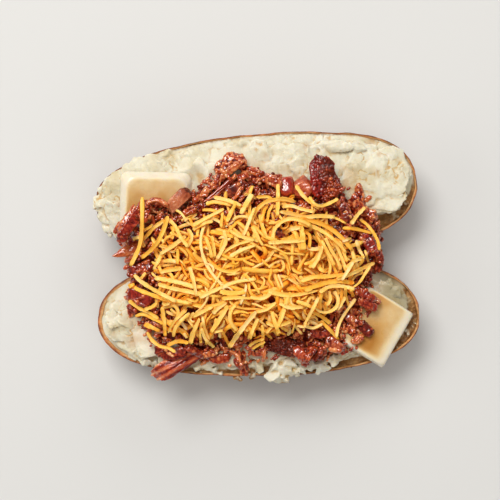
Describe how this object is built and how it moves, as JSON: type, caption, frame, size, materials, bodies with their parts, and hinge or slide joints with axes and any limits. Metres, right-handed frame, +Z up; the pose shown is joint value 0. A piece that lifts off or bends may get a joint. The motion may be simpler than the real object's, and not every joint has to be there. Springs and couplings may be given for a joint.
{
  "type": "loaded baked potato",
  "caption": "Long baking potato cut lengthwise and laid open as halves, fluffed flesh up, with butter pats, a heap of glossy pulled beef across the middle and shredded orange cheese on top.",
  "frame": {"origin": "middle of the footprint of the whole, on the surface that it rests on", "axes": "+X along the potato, +Y towards the back half, +Z up out of the cut faces"},
  "size_m": [0.1794, 0.1392, 0.0589],
  "materials": {
    "potato": "fluffy cream potato flesh in a thin, dry, orange-brown baked skin",
    "butter": "softened pale butter, satin, tan where it melts",
    "beef": "shredded beef in a glossy dark red-brown sauce",
    "cheese": "satin orange-yellow shredded cheddar"
  },
  "bodies": {
    "root": {"potato_half_back": "potato", "potato_half_front": "potato", "butter_pat_left": "butter", "butter_pat_right": "butter", "pulled_beef": "beef", "shredded_cheese": "cheese", "bark_piece_back": "beef", "slab_piece_back": "beef", "glazed_piece_back": "beef", "slice_piece_left": "beef", "wedge_piece_left": "beef", "striped_piece_front": "beef", "bark_piece_front": "beef"}
  },
  "joints": []
}
